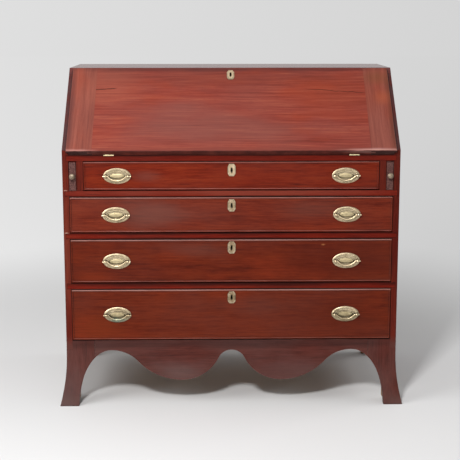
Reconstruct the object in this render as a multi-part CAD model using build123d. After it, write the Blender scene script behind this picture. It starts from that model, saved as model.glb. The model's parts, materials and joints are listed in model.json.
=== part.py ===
from build123d import *

import math
import os

# A slant-front desk on French feet, in millimetres. X runs across the front, the front faces -Y, Z is up,
# and the origin is on the floor under the middle of the desk.

# Case
case_width = 1060.0
case_depth = 514.0
case_height = 1072.0
side_thickness = 20.0
top_thickness = 20.0
top_lap = 6.0
writing_thickness = 19.0
bottom_thickness = 20.0
back_thickness = 15.0
back_rabbet = 10.0
back_board_count = 5
back_board_gap = 0.6
housing_depth = 8.0
edge_round = 1.2

# Slope for the lid
slope_depth = 233.0
lid_seat = 14.9

# Dovetails
dovetail_slope = 1 / 6
tail_share = 0.6
top_tail_count = 5
top_tail_margin = 8.0

# Base and feet
base_height = 182.0
bottom_lift = 10.4
base_thickness = 20.0
foot_base = 39.0
foot_flare = 22.0
flare_height = 165.0
foot_curve = 105.0
foot_face_width = 90.6
arch_height = 179.5
lobe_offset = 159.5
lobe_height = 79.0
outer_ogee_share = 0.38
inner_ogee_share = 0.26
return_curve = 85.0
side_arch_height = 140.0
bracket_width = 112.0
bracket_thickness = 18.0
bracket_arch_height = 150.0
block_size = 18.0
block_lift = 12.0

# Long drawers, from the top one down
drawer_1_height = 87.9
drawer_2_height = 111.3
drawer_3_height = 138.0
drawer_4_height = 163.8
front_tail_counts = {1: 2, 2: 3, 3: 3, 4: 4}
reveal = 2.7
drawer_side_gap = 1.2
runner_gap = 0.3
front_thickness = 20.0
front_lap = 8.0
drawer_rear_gap = 39.0
drawer_side = 11.0
drawer_back = 11.0
drawer_panel = 8.0
panel_groove = 5.0
panel_lift = 10.0
side_drop = 4.0
tail_margin = 5.0
bead_thickness = 4.5
bead_projection = 1.8
bead_depth = 6.5

# Rails, runners and lopers
rail_thickness = 19.2
rail_depth = 65.0
rail_tongue = 13.0
runner_width = 45.0
runner_housing = 5.0
drawer_bearing = 30.0
stop_length = 45.0
stop_depth = 28.0
stop_height = 6.0
stop_offset = 180.0
stop_gap = 0.3
loper_width = 21.5
loper_rear_gap = 69.0
loper_gap = 1.2
partition_thickness = 21.4
partition_rear_gap = 59.0
loper_round = 1.0

# Lid
lid_thickness = 20.5
lid_hinge_gap = 0.8
lid_side_gap = 1.0
lid_lip = 6.3
lip_gap = 0.3
cleat_width = 80.0
tongue_length = 14.0
tongue_thickness = 7.0
tongue_stop = 14.0
lid_round = 2.2

# Hinges
hinge_inset = 145.6
hinge_length = 32.0
leaf_width = 26.0
leaf_thickness = 2.0
barrel_radius = 2.6
barrel_room = 0.4
pin_radius = 1.2
pin_clearance = 0.05
knuckle_gap = 0.2
screw_places = ((-10.0, 10.5), (0.0, 19.5), (10.0, 10.5))
screw_head_radius = 3.2
screw_shank_radius = 1.5
screw_length = 12.0
screw_slot = 0.8
screw_slot_depth = 0.7

# Pulls
pull_inset = 165.3
top_pull_inset = 171.0
plate_length = 87.0
plate_height = 50.0
plate_thickness = 1.8
plate_bevel = 2.2
boss_length = 56.0
boss_height = 22.0
boss_rise = 1.4
boss_wall = 2.2
post_offset = 35.5
post_reach = 9.5
post_head_radius = 4.4
post_neck_radius = 3.0
post_shank_radius = 2.4
shank_clearance = 0.1
nut_size = 9.0
nut_thickness = 3.0
post_stub = 1.0
bail_radius = 2.2
bail_clearance = 0.15
bail_drop = 14.0
bail_half_span = 29.0
bail_bend = 5.0
bail_tip = 44.5

# Keyhole plates and locks
keyplate_width = 24.0
keyplate_height = 39.0
keyplate_clip_width = 5.5
keyplate_clip_height = 8.5
keyplate_thickness = 1.0
keyplate_step = 2.4
keyplate_drop = 1.5
keyhole_radius = 3.2
keyhole_slot = 3.8
keyhole_foot_radius = 2.6
keyhole_length = 14.5
lid_keyplate_drop = 11.0
lock_width = 54.0
lock_height = 36.0
lock_depth = 9.0
lock_drop = 6.0
selvage_overhang = 6.0
selvage_thickness = 2.0
key_recess = 6.0

# Loper knobs
knob_radius = 9.3
knob_length = 18.0
knob_neck_radius = 4.2
knob_base_radius = 6.0
knob_spigot_radius = 2.5
knob_spigot_length = 14.0
knob_rim_share = 0.67
knob_neck_share = 0.33

# Fittings behind the lid
gallery_setback = 22.0
small_drawer_height = 70.0
small_drawer_count = 4
small_drawer_gap = 0.6
small_front = 12.0
small_side = 7.0
small_panel = 5.0
small_rear_gap = 19.0
small_knob_radius = 7.0
small_knob_length = 14.0
small_knob_neck = 3.5
small_knob_base = 5.0
divider_thickness = 7.0
shelf_thickness = 9.0
shelf_housing = 4.0
pigeonhole_count = 8
valance_height = 30.0
valance_thickness = 7.0
valance_rise = 20.0
valance_foot = 10.0

# Planes and levels worked out from those sizes
half = case_width / 2
inner = half - side_thickness
front = -(case_depth - foot_flare) / 2
back = front + case_depth
board_back = back - back_thickness
hinge_offset = half - hinge_inset
foot_mitre = Plane(origin=(half, front, 0), z_dir=(1, 1, 0))
bottom_level = base_height + bottom_lift + bottom_thickness

drawer_heights = {1: drawer_1_height, 2: drawer_2_height, 3: drawer_3_height, 4: drawer_4_height}
runner_levels = {}
drawer_levels = {}
rail_levels = {}
level = bottom_level
for number in (4, 3, 2, 1):
    runner_levels[number] = level
    drawer_levels[number] = level + reveal
    level += drawer_heights[number] + 2 * reveal
    if number > 1:
        rail_levels[number] = level
        level += rail_thickness

writing_level = level + writing_thickness
slope_foot = writing_level + lid_seat
slope_angle = math.atan2(case_height - slope_foot, slope_depth)
top_shoulder = case_height - top_thickness
shelf_level = writing_level + small_drawer_height
gallery_front = front + slope_depth + gallery_setback

loper_outer = inner - loper_gap
loper_inner = loper_outer - loper_width
partition_outer = loper_inner - loper_gap
partition_inner = partition_outer - partition_thickness
long_half = inner - drawer_side_gap
top_half = partition_inner - drawer_side_gap
drawer_halves = {1: top_half, 2: long_half, 3: long_half, 4: long_half}
pull_offset = half - pull_inset
pull_offsets = {1: half - top_pull_inset, 2: pull_offset, 3: pull_offset, 4: pull_offset}
drawer_end = board_back - drawer_rear_gap
loper_end = board_back - loper_rear_gap
partition_end = board_back - partition_rear_gap
small_drawer_end = board_back - small_rear_gap

lid_half = inner + lid_lip
lid_body_half = inner - lid_side_gap
lid_slope_plane = lid_seat * math.cos(slope_angle)
lid_lip_plane = lid_slope_plane + lip_gap
lid_rise = case_height - writing_level - lid_thickness * math.cos(slope_angle)
lid_length = lid_rise / math.sin(slope_angle)
lid_place = Pos(0, front, writing_level) * Rot(math.degrees(slope_angle), 0, 0)


def slope_y(z):
    """Where the sloping edge of the sides is at a height."""
    return front + (z - slope_foot) / math.tan(slope_angle)


def lid_body_length():
    """How far up the slope the thick part of the lid reaches, under the top board."""
    run = slope_y(top_shoulder) - front
    rise = top_shoulder - writing_level
    return run * math.cos(slope_angle) + rise * math.sin(slope_angle) - lid_side_gap


def block(x, y, z):
    """A board or block between two limits on each axis."""
    limits = (x, y, z)
    sizes = [high - low for low, high in limits]
    middle = [(low + high) / 2 for low, high in limits]
    return Pos(*middle) * Box(*sizes)


def polygon(points):
    """A flat face with straight edges."""
    return make_face(Polyline(*points, close=True))


def along_x(face, x):
    """A solid with its outline in the Y-Z plane, between two limits on X."""
    return extrude(Plane.YZ.offset(x[0]) * face, x[1] - x[0])


def along_y(face, y):
    """A solid with its outline in the X-Z plane, between two limits on Y."""
    return extrude(Plane.XZ.offset(-y[1]) * face, y[1] - y[0])


def mirrored(shape):
    """The left-hand copy of a right-hand piece."""
    return mirror(shape, about=Plane.YZ)


def pair(shape):
    """A right-hand piece and its left-hand copy."""
    return [shape, mirrored(shape)]


def facing(x, z):
    """A frame on the case front whose third axis points out at the user."""
    return Plane(origin=(x, front, z), x_dir=(1, 0, 0), z_dir=(0, -1, 0)).location


def tails(start, end, count, base, tip):
    """Dovetail outlines as (along, across) points, wider at the tip than at the base."""
    pitch = (end - start) / count
    narrow = pitch * tail_share / 2
    wide = narrow + abs(tip - base) * dovetail_slope
    outlines = []
    for index in range(count):
        centre = start + pitch * (index + 0.5)
        outlines.append(
            [(centre - narrow, base), (centre + narrow, base), (centre + wide, tip), (centre - wide, tip)]
        )
    return outlines


def writing_board():
    """The fixed writing surface, which also carries the hinges."""
    reach = inner + housing_depth
    board = block((-reach, reach), (front, board_back), (writing_level - writing_thickness, writing_level))
    for side in (-1, 1):
        board -= hinge_room(side)
        board -= case_leaf_pocket(side)
    return board


def bottom_board():
    """The floor of the case, behind the skirt."""
    reach = inner + housing_depth
    height = (bottom_level - bottom_thickness, bottom_level)
    return block((-reach, reach), (front + base_thickness, board_back), height)


def back_boards():
    """Planks across the back, set into rabbets in the sides and the top."""
    reach = inner + back_rabbet
    height = (top_shoulder + back_rabbet - base_height) / back_board_count
    boards = []
    for index in range(back_board_count):
        low = base_height + index * height
        boards.append(block((-reach, reach), (board_back, back), (low, low + height - back_board_gap)))
    return boards


def back_recess():
    """The rabbets for all of the back planks at once."""
    reach = inner + back_rabbet
    return block((-reach, reach), (board_back, back), (base_height, top_shoulder + back_rabbet))


def drawer_rails():
    """Three rails with dovetailed ends that show on the front edges of the sides."""
    rails = []
    pinch = rail_tongue * dovetail_slope
    for low in rail_levels.values():
        high = low + rail_thickness
        tongue = polygon(
            [(0, low), (inner, low), (inner, low + pinch), (inner + rail_tongue, low),
             (inner + rail_tongue, high), (inner, high - pinch), (inner, high), (0, high)]
        )
        right = along_y(tongue, (front, front + rail_depth))
        rails.append(right + mirrored(right))
    return rails


def drawer_runners():
    """Strips behind the rails, let into the sides, that the drawers and lopers slide on."""
    runners = []
    for number, low in rail_levels.items():
        width = runner_width
        if number == 2:
            width = inner - partition_inner + drawer_bearing
        runner = block(
            (inner - width, inner + runner_housing),
            (front + rail_depth, board_back),
            (low, low + rail_thickness),
        )
        runners += pair(runner)
    return runners


def drawer_stops():
    """Blocks on the rails and the bottom board that the drawer fronts close against."""
    stops = []
    near = front + front_thickness + stop_gap
    for low in runner_levels.values():
        stop = block(
            (stop_offset, stop_offset + stop_length), (near, near + stop_depth), (low, low + stop_height)
        )
        stops += pair(stop)
    return stops


def loper_partitions():
    """Uprights between the top drawer and the lopers."""
    partition = block(
        (partition_inner, partition_outer),
        (front, partition_end),
        (runner_levels[1], writing_level - writing_thickness),
    )
    return pair(partition)


def top_tails():
    """Tails on the upper ends of the sides."""
    start = front + slope_depth + top_tail_margin
    end = board_back - top_tail_margin
    return tails(start, end, top_tail_count, top_shoulder, case_height - top_lap)


def side_board():
    """The right side, with its sloping edge, tails and housings."""
    outline = [
        (front, base_height),
        (front, slope_foot),
        (slope_y(top_shoulder), top_shoulder),
        (back, top_shoulder),
        (back, base_height),
    ]
    board = along_x(polygon(outline), (inner, half))
    arrises = board.faces().sort_by(Axis.X)[-1].edges().sort_by(Axis.Y)[:2]
    board = fillet(arrises, edge_round)
    for outline in top_tails():
        board += along_x(polygon(outline), (inner, half))
    board -= back_recess()
    board -= writing_board()
    board -= bottom_board()
    board -= gallery_shelf()
    for rail in drawer_rails():
        board -= rail
    for runner in drawer_runners():
        board -= runner
    return board


def top_board():
    """The top, with a front edge bevelled to the slope and sockets for the tails."""
    outline = [
        (slope_y(top_shoulder), top_shoulder),
        (front + slope_depth, case_height),
        (back, case_height),
        (back, top_shoulder),
    ]
    board = along_x(polygon(outline), (-half, half))
    board = fillet(board.faces().sort_by(Axis.Z)[-1].edges(), edge_round)
    for outline in top_tails():
        for tail in pair(along_x(polygon(outline), (inner, half))):
            board -= tail
    return board - back_recess()


def ogee(high, low, share):
    """Two arcs from a level crest to a level trough, which meet a share of the way down."""
    middle = (high[0] + (low[0] - high[0]) * share, high[1] + (low[1] - high[1]) * share)
    ahead = (math.copysign(1, low[0] - high[0]), 0)
    behind = (-ahead[0], 0)
    return [TangentArc(high, middle, tangent=ahead), TangentArc(low, middle, tangent=behind)]


def front_skirt():
    """The scalloped apron between the front feet."""
    joint = half - foot_face_width
    crest = half - foot_base - foot_curve
    run = joint - crest
    joint_height = arch_height * math.sqrt(1 - (run / foot_curve) ** 2)
    start_angle = math.degrees(math.acos(run / foot_curve))
    sweep_angle = 90 - start_angle
    right = [EllipticalCenterArc((crest, 0), foot_curve, arch_height, start_angle, arc_size=sweep_angle)]
    right += ogee((crest, arch_height), (lobe_offset, lobe_height), outer_ogee_share)
    right += ogee((0, arch_height), (lobe_offset, lobe_height), inner_ogee_share)
    end = [(joint, joint_height), (joint, bottom_level)]
    upper = Polyline(*end, *[(-x, z) for x, z in reversed(end)])
    outline = make_face([upper] + right + [mirrored(edge) for edge in right])
    return along_y(outline, (front, front + base_thickness))


def flared_strip(origin, outward, top):
    """Cross-section of a foot board: upright above, and curving outward to the floor."""
    outer = origin + outward * foot_flare
    inside = origin - outward * base_thickness
    toe = outer - outward * base_thickness
    edges = [
        Polyline((inside, flare_height), (inside, top), (origin, top), (origin, flare_height)),
        TangentArc((origin, flare_height), (outer, 0), tangent=(0, -1)),
        Line((outer, 0), (toe, 0)),
        TangentArc((inside, flare_height), (toe, 0), tangent=(0, -1)),
    ]
    return make_face(edges)


def elliptical_bar(radius, height):
    """Upper half of an ellipse on the floor line, the outline of an arch."""
    arc = EllipticalCenterArc((0, 0), radius, height, 0, arc_size=180)
    return make_face([arc, Line((-radius, 0), (radius, 0))])


def front_foot_face():
    """Front of the right foot, mitred to its return and notched round the side."""
    depth = (front - foot_flare, front + base_thickness)
    face = along_x(flared_strip(front, -1, bottom_level), (half - foot_face_width, half + foot_flare))
    arch = Pos(half - foot_base - foot_curve, 0) * elliptical_bar(foot_curve, arch_height)
    face -= along_y(arch, depth)
    face -= block((inner, half + foot_flare), depth, (base_height, bottom_level))
    return split(face, bisect_by=foot_mitre, keep=Keep.BOTTOM)


def side_foot(y, arch_centre):
    """A flared foot board under the right side."""
    board = along_y(flared_strip(half, 1, base_height), y)
    arch = Pos(arch_centre, 0) * elliptical_bar(return_curve, side_arch_height)
    return board - along_x(arch, (inner, half + foot_flare))


def front_foot_return():
    """Side of the right front foot, mitred to its face."""
    end = front + foot_base + return_curve
    return split(side_foot((front - foot_flare, end), end), bisect_by=foot_mitre, keep=Keep.TOP)


def rear_foot():
    """Side of the right rear foot, flat at the back."""
    start = back - foot_base - return_curve
    return side_foot((start, back), start)


def side_skirt():
    """Plain strip under the right side, between its feet."""
    span = foot_base + return_curve
    return block((inner, half), (front + span, back - span), (side_arch_height, base_height))


def rear_bracket():
    """Plain bracket behind the right rear foot."""
    start = inner - bracket_width
    bend = (inner, flare_height)
    toe = (inner + foot_flare, 0)
    outline = [
        Polyline(bend, (inner, base_height), (start, base_height), (start, 0), toe),
        TangentArc(bend, toe, tangent=(0, -1)),
    ]
    depth = (back - bracket_thickness, back)
    arch = Pos(start, 0) * elliptical_bar(bracket_width + side_thickness - foot_base, bracket_arch_height)
    return along_y(make_face(outline), depth) - along_y(arch, depth)


def foot_blocks():
    """Glue blocks in the corners behind the feet."""
    height = (block_lift, bottom_level - bottom_thickness)
    across = (inner - block_size, inner)
    near = front + base_thickness
    far = back - bracket_thickness
    blocks = pair(block(across, (near, near + block_size), height))
    return blocks + pair(block(across, (far - block_size, far), height))


def hinge_room(side):
    """Space for a hinge barrel, along the hinge axis."""
    length = hinge_length + 2 * barrel_room
    barrel = Rot(0, 90, 0) * Cylinder(barrel_radius + barrel_room, length)
    return Pos(side * hinge_offset, front, writing_level) * barrel


def leaf_span(side):
    """Limits of a hinge along X."""
    return (side * hinge_offset - hinge_length / 2, side * hinge_offset + hinge_length / 2)


def at_screws(side, piece):
    """Copies of a piece at a leaf's screws. The leaf lies on the X-Y plane with its pin on the X axis."""
    return [Pos(side * hinge_offset + x, y, 0) * piece for x, y in screw_places]


def screw_blank():
    """A countersunk screw that points down from the X-Y plane, before its slot is cut."""
    head = Pos(0, 0, -leaf_thickness / 2) * Cone(screw_shank_radius, screw_head_radius, leaf_thickness)
    return head + Pos(0, 0, -screw_length / 2) * Cylinder(screw_shank_radius, screw_length)


def screw():
    """A countersunk screw with a slot across its head."""
    return screw_blank() - Box(2 * screw_head_radius, screw_slot, 2 * screw_slot_depth)


def screw_hole():
    """A hole in the wood for a screw."""
    return Cylinder(screw_shank_radius + pin_clearance, 2 * screw_length)


def case_leaf_pocket(side):
    """Recess for a leaf in the writing board, with the holes for its screws."""
    height = (writing_level - leaf_thickness, writing_level)
    pocket = block(leaf_span(side), (front, front + leaf_width), height)
    for hole in at_screws(side, screw_hole()):
        pocket += Pos(0, front, writing_level) * hole
    return pocket


def lid_leaf_pocket(side):
    """Recess for a leaf in the lid, with the holes for its screws, in the lid's own frame."""
    pocket = block(leaf_span(side), (0, leaf_width), (0, leaf_thickness))
    for hole in at_screws(side, screw_hole()):
        pocket += hole
    return pocket


def knuckle(x, y, z):
    """A length of hinge barrel, bored for the pin."""
    ring = Circle(barrel_radius) - Circle(pin_radius + pin_clearance)
    return extrude(Plane.YZ.offset(x[0]) * Pos(y, z) * ring, x[1] - x[0])


def hinge_thirds(side):
    """Limits of the three knuckles of a hinge along X."""
    low, high = leaf_span(side)
    third = (high - low) / 3
    starts = [low, low + third, low + 2 * third]
    return [(start + knuckle_gap, start + third - knuckle_gap) for start in starts]


def hinge_case_leaves():
    """Leaves in the writing board, each with two knuckles, the pin and three screws."""
    pieces = []
    for side in (-1, 1):
        thirds = hinge_thirds(side)
        depth = (writing_level - leaf_thickness, writing_level)
        leaf = block(leaf_span(side), (front + barrel_radius + barrel_room, front + leaf_width), depth)
        for third in (thirds[0], thirds[2]):
            tab = block(third, (front, front + barrel_radius + barrel_room), depth)
            leaf += knuckle(third, front, writing_level) + tab - bore(third, front, writing_level)
        for blank in at_screws(side, screw_blank()):
            leaf -= Pos(0, front, writing_level) * blank
        pin = Rot(0, 90, 0) * Cylinder(pin_radius, hinge_length)
        pieces += [leaf, Pos(side * hinge_offset, front, writing_level) * pin]
        pieces += [Pos(0, front, writing_level) * piece for piece in at_screws(side, screw())]
    return pieces


def bore(x, y, z):
    """The hole for the pin through a knuckle."""
    return extrude(Plane.YZ.offset(x[0]) * Pos(y, z) * Circle(pin_radius + pin_clearance), x[1] - x[0])


def hinge_lid_leaves():
    """Leaves in the lid, each with the middle knuckle and three screws."""
    pieces = []
    for side in (-1, 1):
        third = hinge_thirds(side)[1]
        leaf = block(leaf_span(side), (barrel_radius + barrel_room, leaf_width), (0, leaf_thickness))
        tab = block(third, (0, barrel_radius + barrel_room), (0, leaf_thickness))
        leaf += knuckle(third, 0, 0) + tab - bore(third, 0, 0)
        for blank in at_screws(side, mirror(screw_blank(), about=Plane.XY)):
            leaf -= blank
        pieces.append(leaf)
        pieces += at_screws(side, mirror(screw(), about=Plane.XY))
    return [lid_place * piece for piece in pieces]


def lid_blank(x):
    """A slice of the lid in its own frame, with its lip over the top board."""
    body = lid_body_length()
    blank = block(x, (lid_hinge_gap, lid_length), (0, lid_thickness))
    return blank - block(x, (body, lid_length), (0, lid_lip_plane))


def lid_tongue(side):
    """Tongue on an end of the lid panel."""
    root = lid_half - cleat_width
    middle = lid_thickness / 2
    across = (root, root + tongue_length)
    tongue = block(
        across,
        (lid_hinge_gap, lid_body_length() - tongue_stop),
        (middle - tongue_thickness / 2, middle + tongue_thickness / 2),
    )
    return tongue if side > 0 else mirrored(tongue)


def lid_keyhole_level():
    """How far up the lid its keyhole is."""
    return lid_length - lid_keyplate_drop - keyplate_height / 2


def lid_panel():
    """The wide board of the lid, with the pockets for its hinges and lock."""
    root = lid_half - cleat_width
    panel = lid_blank((-root, root))
    outer = panel.faces().sort_by(Axis.Z)[-1]
    panel = fillet(outer.edges().filter_by(Axis.X), lid_round)
    for side in (-1, 1):
        panel += lid_tongue(side)
        panel -= lid_leaf_pocket(side)
        panel -= Pos(0, -front, -writing_level) * hinge_room(side)
    panel -= lid_lock_case()
    panel -= Pos(0, lid_keyhole_level(), 0) * extrude(keyhole(), lid_thickness)
    return lid_place * panel


def lid_cleats():
    """Breadboard ends with upright grain, grooved over the tongues of the panel."""
    root = lid_half - cleat_width
    cleat = lid_blank((root, lid_half))
    cleat -= block((lid_body_half, lid_half), (lid_hinge_gap, lid_length), (0, lid_lip_plane))
    outer = cleat.faces().sort_by(Axis.Z)[-1]
    arrises = outer.edges().sort_by(Axis.X)[1:]
    cleat = fillet(arrises, lid_round)
    cleat -= lid_tongue(1)
    return [lid_place * piece for piece in pair(cleat)]


def keyhole():
    """Outline of a keyhole round the origin, rounded wider at both ends of its slot."""
    drop = keyhole_length - keyhole_radius - keyhole_foot_radius
    slot = Pos(0, -drop / 2) * Rectangle(keyhole_slot, drop)
    foot = Pos(0, -drop) * Circle(keyhole_foot_radius)
    return Pos(0, keyhole_length / 2 - keyhole_radius) * (Circle(keyhole_radius) + slot + foot)


def clipped_plate(inset):
    """Outline of a keyhole plate with clipped corners, smaller by an inset."""
    wide = keyplate_width / 2 - inset
    tall = keyplate_height / 2 - inset
    narrow = wide - keyplate_clip_width
    short = tall - keyplate_clip_height
    corners = [(wide, -short), (wide, short), (narrow, tall), (-narrow, tall)]
    return polygon(corners + [(-x, -y) for x, y in corners])


def keyplate():
    """A keyhole plate with a raised field, lying on the X-Y plane."""
    plate = extrude(clipped_plate(0), keyplate_thickness)
    plate += extrude(clipped_plate(keyplate_step), 2 * keyplate_thickness)
    return plate - extrude(keyhole(), 2 * keyplate_thickness)


def lock_case(top):
    """A lock body under its selvage, whose upper edge is at a height, set back from the X-Y plane."""
    depth = (-lock_depth, 0)
    joint = top - selvage_thickness
    body = block((-lock_width / 2, lock_width / 2), (top - lock_drop - lock_height, joint), depth)
    reach = lock_width / 2 + selvage_overhang
    return body + block((-reach, reach), (joint, top), depth)


def lid_lock_case():
    """Lock in the inner face of the lid, in the lid's own frame."""
    return Pos(0, 0, lock_depth) * lock_case(lid_body_length())


def lid_lock():
    """Lid lock, bored for the key, and its keyhole plate."""
    level = lid_keyhole_level()
    hole = Pos(0, level, lock_depth - key_recess) * extrude(keyhole(), key_recess)
    plate = Pos(0, level, lid_thickness) * keyplate()
    return [lid_place * (lid_lock_case() - hole), lid_place * plate]


def drawer_centre(number):
    """Height of the middle of a drawer front."""
    return drawer_levels[number] + drawer_heights[number] / 2


def drawer_top(number):
    """Height of the upper edge of a drawer front."""
    return drawer_levels[number] + drawer_heights[number]


def keyhole_level(number):
    """Height of a drawer's keyhole plate."""
    return drawer_top(number) - bead_thickness - keyplate_drop - keyplate_height / 2


def drawer_side_limits(number):
    """Lower and upper edges of a drawer's sides."""
    return (runner_levels[number] + runner_gap, drawer_top(number) - side_drop)


def drawer_bottom_panel(number):
    """Bottom of a drawer, in grooves, passing under the back."""
    reach = drawer_halves[number] - drawer_side + panel_groove
    low = runner_levels[number] + runner_gap + panel_lift
    near = front + front_thickness - panel_groove
    return block((-reach, reach), (near, drawer_end), (low, low + drawer_panel))


def drawer_tails(number, base, tip):
    """Tails on the ends of a drawer's sides, on the right-hand side."""
    low, high = drawer_side_limits(number)
    count = front_tail_counts[number]
    outer = drawer_halves[number]
    start = low + panel_lift + drawer_panel
    pieces = []
    for outline in tails(start, high - tail_margin, count, base, tip):
        turned = [(across, along) for along, across in outline]
        pieces.append(along_x(polygon(turned), (outer - drawer_side, outer)))
    return pieces


def front_tails(number):
    """Tails that reach into the drawer front and stop short of its face."""
    return drawer_tails(number, front + front_thickness, front + front_lap)


def drawer_back_board(number):
    """Back of a drawer, with pins between the tails of the sides."""
    reach = drawer_halves[number]
    low, high = drawer_side_limits(number)
    near = drawer_end - drawer_back
    bottom = low + panel_lift + drawer_panel
    board = block((-reach, reach), (near, drawer_end), (bottom, high))
    for tail in drawer_tails(number, near, drawer_end):
        for piece in pair(tail):
            board -= piece
    return board


def drawer_box(number):
    """Sides, back and bottom of a drawer."""
    outer = drawer_halves[number]
    length = (front + front_thickness, drawer_end)
    side = block((outer - drawer_side, outer), length, drawer_side_limits(number))
    for tail in front_tails(number):
        side += tail
    panel = drawer_bottom_panel(number)
    rear = drawer_back_board(number)
    side = side - panel - rear
    return pair(side) + [rear, panel]


def drawer_front(number):
    """Front of a drawer: rabbeted for its bead, with sockets, keyhole, lock mortise and post holes."""
    reach = drawer_halves[number]
    low = drawer_levels[number]
    high = drawer_top(number)
    board = block((-reach, reach), (front, front + front_thickness), (low, high))
    for strip in bead_blanks(number):
        board -= strip
    for tail in front_tails(number):
        for piece in pair(tail):
            board -= piece
    board -= drawer_bottom_panel(number)
    board -= drawer_lock_case(number)
    through = front_thickness
    board -= facing(0, keyhole_level(number)) * Pos(0, 0, -through) * extrude(keyhole(), through)
    for centre in (-pull_offsets[number], pull_offsets[number]):
        for side in (-1, 1):
            hole = Cylinder(post_shank_radius + shank_clearance, 2 * through)
            board -= facing(centre + side * post_offset, drawer_centre(number)) * hole
    return board


def bead_blanks(number):
    """Square blanks of a drawer's four beads, mitred at the corners, back to the bottom of the rabbet."""
    reach = drawer_halves[number]
    low = drawer_levels[number]
    high = drawer_top(number)
    inset = bead_thickness
    ring = [(-reach, low), (reach, low), (reach, high), (-reach, high)]
    hole = [(-reach + inset, low + inset), (reach - inset, low + inset)]
    hole += [(reach - inset, high - inset), (-reach + inset, high - inset)]
    blanks = []
    for index in range(4):
        after = (index + 1) % 4
        corner = polygon([ring[index], ring[after], hole[after], hole[index]])
        blanks.append(along_y(corner, (front - bead_projection, front + bead_depth)))
    return blanks


def drawer_cockbead(number):
    """Four mitred strips round a drawer front, with rounded noses."""
    reach = drawer_halves[number]
    low = drawer_levels[number]
    high = drawer_top(number)
    radius = bead_thickness / 2
    nose = front - bead_projection + radius
    flat = Pos((nose + front + bead_depth) / 2, 0) * Rectangle(front + bead_depth - nose, bead_thickness)
    section = flat + Pos(nose, 0) * Circle(radius)
    level_bar = along_x(section, (-reach, reach))
    upright = extrude(Plane((0, 0, low), x_dir=(0, 1, 0), z_dir=(0, 0, 1)) * section, high - low)
    bars = [
        Pos(0, 0, low + radius) * level_bar,
        Pos(reach - radius, 0, 0) * upright,
        Pos(0, 0, high - radius) * level_bar,
        Pos(-reach + radius, 0, 0) * upright,
    ]
    return [bar & blank for bar, blank in zip(bars, bead_blanks(number))]


def drawer_lock_case(number):
    """Lock in the inner face of a drawer front, under its upper edge."""
    return facing(0, 0) * Pos(0, 0, lock_depth - front_thickness) * lock_case(drawer_top(number))


def drawer_lock(number):
    """Drawer lock, bored for the key, and its keyhole plate."""
    level = keyhole_level(number)
    reach = front_thickness - lock_depth + key_recess
    hole = facing(0, level) * Pos(0, 0, -reach) * extrude(keyhole(), reach)
    return [drawer_lock_case(number) - hole, facing(0, level) * keyplate()]


def pull_plate():
    """An oval plate with bevelled edges and a raised oval, lying on the X-Y plane."""
    long = plate_length / 2
    short = plate_height / 2
    edge = Pos(0, 0, plate_thickness) * Ellipse(long - plate_bevel, short - plate_bevel)
    plate = loft([Ellipse(long, short), edge])
    outer = Ellipse(boss_length / 2, boss_height / 2)
    hollow = Ellipse(boss_length / 2 - boss_wall, boss_height / 2 - boss_wall)
    plate += extrude(outer - hollow, plate_thickness + boss_rise)
    hole = Cylinder(post_shank_radius + shank_clearance, 4 * plate_thickness)
    for side in (-1, 1):
        plate -= Pos(side * post_offset, 0, 0) * hole
    return plate


def pull_post():
    """A post with a ball head bored for the bail, and a shank that passes through the drawer front."""
    end = front_thickness + nut_thickness + post_stub
    shank = Pos(0, 0, (plate_thickness - end) / 2) * Cylinder(post_shank_radius, end + plate_thickness)
    rise = post_reach - plate_thickness
    neck = Pos(0, 0, plate_thickness + rise / 2) * Cylinder(post_neck_radius, rise)
    post = shank + neck + Pos(0, 0, post_reach) * Sphere(post_head_radius)
    eye = Rot(0, 90, 0) * Cylinder(bail_radius + bail_clearance, 4 * post_head_radius)
    return post - Pos(0, 0, post_reach) * eye


def pull_nut():
    """The square nut of a post, against the inside of the drawer front."""
    nut = Pos(0, 0, -front_thickness - nut_thickness / 2) * Box(nut_size, nut_size, nut_thickness)
    return nut - Cylinder(post_shank_radius + pin_clearance, 4 * front_thickness)


def drawer_pull_plates(number):
    """Two oval plates with their posts and nuts."""
    pieces = []
    for centre in (-pull_offsets[number], pull_offsets[number]):
        pieces.append(facing(centre, drawer_centre(number)) * pull_plate())
        for side in (-1, 1):
            place = facing(centre + side * post_offset, drawer_centre(number))
            pieces += [place * pull_post(), place * pull_nut()]
    return pieces


def bail():
    """A bail handle that hangs from the X axis below the origin, in the X-Y plane."""
    radius = (bail_half_span**2 + bail_drop**2) / (2 * bail_drop)
    centre = radius - bail_drop
    reach = math.sqrt((radius + bail_bend) ** 2 - (centre + bail_bend) ** 2)
    share = radius / (radius + bail_bend)
    meet = (reach * share, centre - (centre + bail_bend) * share)
    right = [
        Line((bail_tip, 0), (reach, 0)),
        TangentArc((reach, 0), meet, tangent=(-1, 0)),
    ]
    bow = ThreePointArc(meet, (0, -bail_drop), (-meet[0], meet[1]))
    left = [mirrored(edge).edge() for edge in right]
    path = Wire(right + [bow] + left)
    section = Plane(origin=(bail_tip, 0, 0), z_dir=(-1, 0, 0)) * Circle(bail_radius)
    return sweep(section, path)


def drawer_bail(number, side):
    """A bail in the eyes of its two posts."""
    place = facing(side * pull_offsets[number], drawer_centre(number))
    return place * Pos(0, 0, post_reach) * bail()


def loper():
    """The right slide that carries the open lid."""
    body = block(
        (loper_inner, loper_outer),
        (front, loper_end),
        (runner_levels[1] + runner_gap, drawer_top(1)),
    )
    body = fillet(body.faces().sort_by(Axis.Y)[0].edges(), loper_round)
    hole = Cylinder(knob_spigot_radius + shank_clearance, 2 * knob_spigot_length)
    return body - facing((loper_inner + loper_outer) / 2, drawer_centre(1)) * hole


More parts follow.
